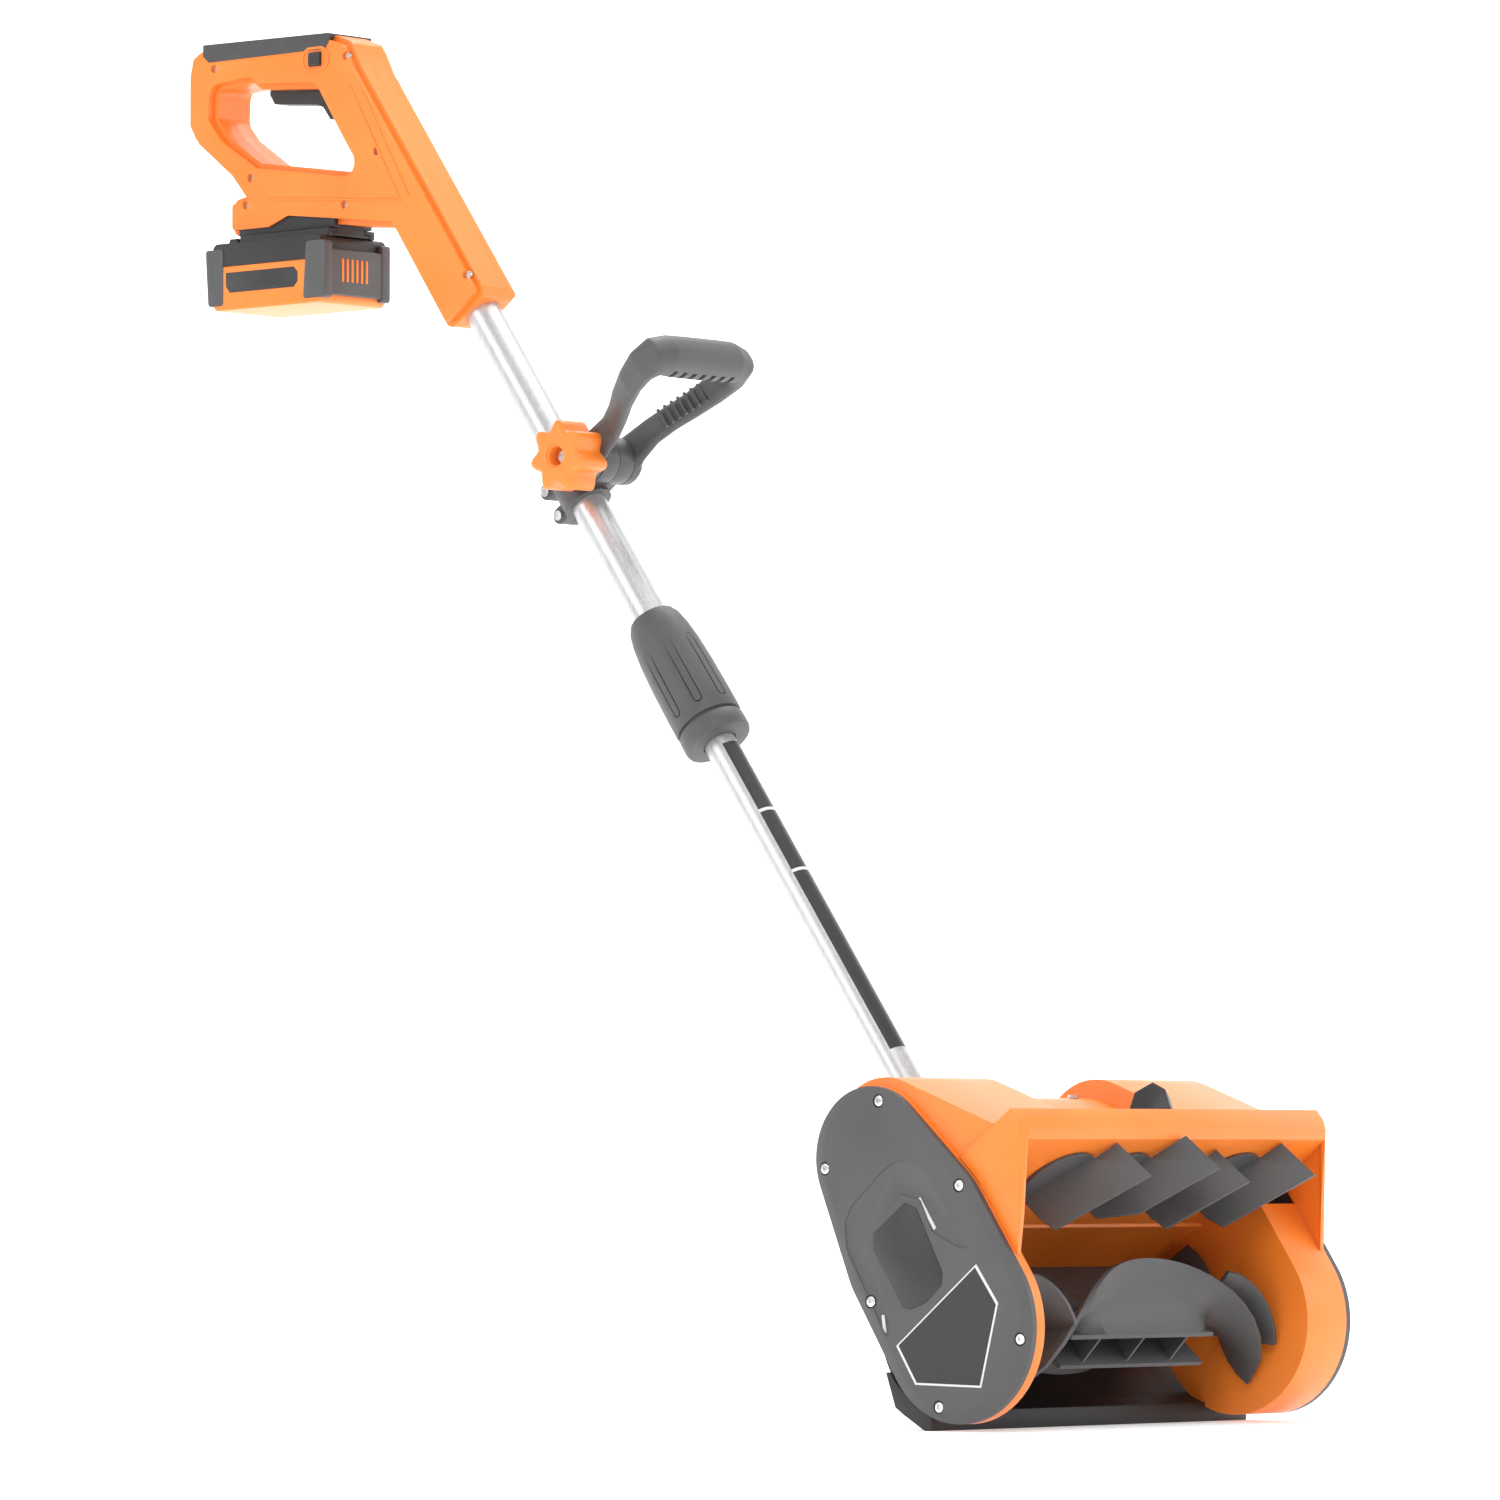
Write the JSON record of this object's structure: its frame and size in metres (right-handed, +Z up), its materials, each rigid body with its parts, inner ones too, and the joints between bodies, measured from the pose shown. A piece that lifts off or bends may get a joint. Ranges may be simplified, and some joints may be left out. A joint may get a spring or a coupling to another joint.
{
  "type": "single stage snowblower",
  "caption": "Cordless single stage snow thrower: paddle auger head with turning vanes on a telescopic pole, D handle with slide-on battery and a tilting loop handle.",
  "frame": {"origin": "on the ground, at the middle of the scraper's flat edge", "axes": "+Z up, -Y towards the snow, +X to the right as seen from the front, which is the side of the belt drive"},
  "size_m": [0.344, 0.9684, 1.0131],
  "materials": {
    "orange_plastic": "smooth moulded ABS with a fine satin texture",
    "charcoal_plastic": "matte textured PP/ABS",
    "black_plastic": "matte glass filled nylon",
    "grip_rubber": "soft overmoulded rubber",
    "belt_rubber": "ribbed drive belt",
    "tube_alloy": "satin anodised tube",
    "bright_steel": "zinc plated",
    "plain_steel": "turned steel",
    "brass_contacts": "tinned brass blades",
    "cell_metal": "sleeved cells, density near that of a real cell"
  },
  "bodies": {
    "head": {"auger_housing": "orange_plastic", "motor_hood": "orange_plastic", "chute_hood": "orange_plastic", "left_side_cover": "charcoal_plastic", "right_side_cover": "charcoal_plastic", "left_cover_screws": "bright_steel", "right_cover_screws": "bright_steel", "hood_screws": "bright_steel", "scraper_bar": "black_plastic", "scraper_screws": "bright_steel", "left_bearing": "plain_steel", "right_bearing": "plain_steel", "motor_can": "plain_steel", "motor_screws": "bright_steel", "drive_belt": "belt_rubber", "pole_socket": "orange_plastic", "lower_tube": "tube_alloy"},
    "auger": {"auger_shaft": "plain_steel", "auger_front_half": "charcoal_plastic", "auger_rear_half": "charcoal_plastic", "auger_bolts": "bright_steel", "auger_pulley": "charcoal_plastic"},
    "motor": {"motor_shaft": "plain_steel", "motor_pulley": "plain_steel", "motor_fan": "black_plastic"},
    "first_vane": {"vane_1": "charcoal_plastic", "vane_crank_1": "black_plastic"},
    "second_vane": {"vane_2": "charcoal_plastic", "vane_crank_2": "black_plastic"},
    "third_vane": {"vane_3": "charcoal_plastic", "vane_crank_3": "black_plastic"},
    "fourth_vane": {"vane_4": "charcoal_plastic", "vane_crank_4": "black_plastic"},
    "link": {"vane_link": "plain_steel"},
    "lever": {"vane_lever": "black_plastic"},
    "upper_pole": {"upper_tube": "tube_alloy", "lock_collet": "black_plastic", "handle_left_shell": "orange_plastic", "handle_right_shell": "orange_plastic", "handle_screws": "bright_steel", "grip_pad": "grip_rubber", "switch_body": "black_plastic", "trigger_pin": "bright_steel", "trigger_spring": "bright_steel", "battery_dock": "black_plastic", "dock_terminals": "brass_contacts", "clamp_left_half": "charcoal_plastic", "clamp_right_half": "charcoal_plastic", "clamp_screws": "bright_steel", "pivot_bolt": "bright_steel"},
    "sleeve": {"lock_sleeve": "charcoal_plastic"},
    "trigger_lever": {"trigger": "black_plastic"},
    "safety_button": {"lock_button": "black_plastic"},
    "battery": {"battery_upper_case": "black_plastic", "battery_lower_case": "orange_plastic", "battery_bumpers": "charcoal_plastic", "battery_cells": "cell_metal"},
    "latch": {"battery_latch": "black_plastic"},
    "loop": {"loop_handle": "charcoal_plastic"},
    "knob": {"star_knob": "orange_plastic"}
  },
  "joints": [
    {"name": "auger_spin", "type": "hinge", "parent": "head", "child": "auger", "pos_m": [0, -0.018, 0.074], "axis": [1, 0, 0], "continuous": true},
    {"name": "motor_spin", "type": "hinge", "parent": "head", "child": "motor", "pos_m": [0, 0.04, 0.182], "axis": [1, 0, 0], "continuous": true},
    {"name": "lever_turn", "type": "hinge", "parent": "head", "child": "lever", "pos_m": [0, -0.06382, 0.18224], "axis": [0, 0.5878, 0.809], "range_deg": [-66, 0]},
    {"name": "first_vane_turn", "type": "hinge", "parent": "head", "child": "first_vane", "pos_m": [-0.08805, -0.04521, 0.16873], "axis": [0, 0.5878, 0.809], "range_deg": [-66, 0]},
    {"name": "second_vane_turn", "type": "hinge", "parent": "head", "child": "second_vane", "pos_m": [-0.02935, -0.04521, 0.16873], "axis": [0, 0.5878, 0.809], "range_deg": [-66, 0]},
    {"name": "third_vane_turn", "type": "hinge", "parent": "head", "child": "third_vane", "pos_m": [0.02935, -0.04521, 0.16873], "axis": [0, 0.5878, 0.809], "range_deg": [-66, 0]},
    {"name": "fourth_vane_turn", "type": "hinge", "parent": "head", "child": "fourth_vane", "pos_m": [0.08805, -0.04521, 0.16873], "axis": [0, 0.5878, 0.809], "range_deg": [-66, 0]},
    {"name": "link_swing", "type": "hinge", "parent": "lever", "child": "link", "pos_m": [-0.0049, -0.0536, 0.18347], "axis": [0, 0.5878, 0.809], "range_deg": [0, 66]},
    {"name": "pole_slide", "type": "slide", "parent": "head", "child": "upper_pole", "axis": [0, 0.5864, 0.81], "range_m": [-0.22, 0.07]},
    {"name": "sleeve_twist", "type": "hinge", "parent": "upper_pole", "child": "sleeve", "pos_m": [0, 0.3715, 0.52031], "axis": [0, 0.5864, 0.81], "range_deg": [-120, 0]},
    {"name": "trigger_pull", "type": "hinge", "parent": "upper_pole", "child": "trigger_lever", "pos_m": [0, 0.72039, 0.98159], "axis": [1, 0, 0], "range_deg": [0, 5.5], "stiffness_Nm_per_rad": 0.3, "springref_deg": -8.59, "deforming": ["trigger_spring"]},
    {"name": "button_press", "type": "slide", "parent": "upper_pole", "child": "safety_button", "axis": [1, 0, 0], "range_m": [0, 0.003], "stiffness_N_per_m": 300, "springref_m": -0.004},
    {"name": "battery_slide", "type": "slide", "parent": "upper_pole", "child": "battery", "axis": [0, 1, 0], "range_m": [0, 0.13]},
    {"name": "latch_press", "type": "slide", "parent": "battery", "child": "latch", "axis": [0, -1, 0], "range_m": [0, 0.003], "stiffness_N_per_m": 300, "springref_m": -0.004},
    {"name": "loop_tilt", "type": "hinge", "parent": "upper_pole", "child": "loop", "pos_m": [0, 0.45158, 0.68209], "axis": [1, 0, 0], "range_deg": [-50, 55]},
    {"name": "knob_turn", "type": "hinge", "parent": "upper_pole", "child": "knob", "pos_m": [0, 0.45158, 0.68209], "axis": [1, 0, 0], "continuous": true}
  ],
  "couplings": [
    {"joint": "motor_spin", "follows": "auger_spin", "ratio": 3.5},
    {"joint": "first_vane_turn", "follows": "lever_turn", "ratio": 1},
    {"joint": "second_vane_turn", "follows": "lever_turn", "ratio": 1},
    {"joint": "third_vane_turn", "follows": "lever_turn", "ratio": 1},
    {"joint": "fourth_vane_turn", "follows": "lever_turn", "ratio": 1},
    {"joint": "link_swing", "follows": "lever_turn", "ratio": -1}
  ]
}
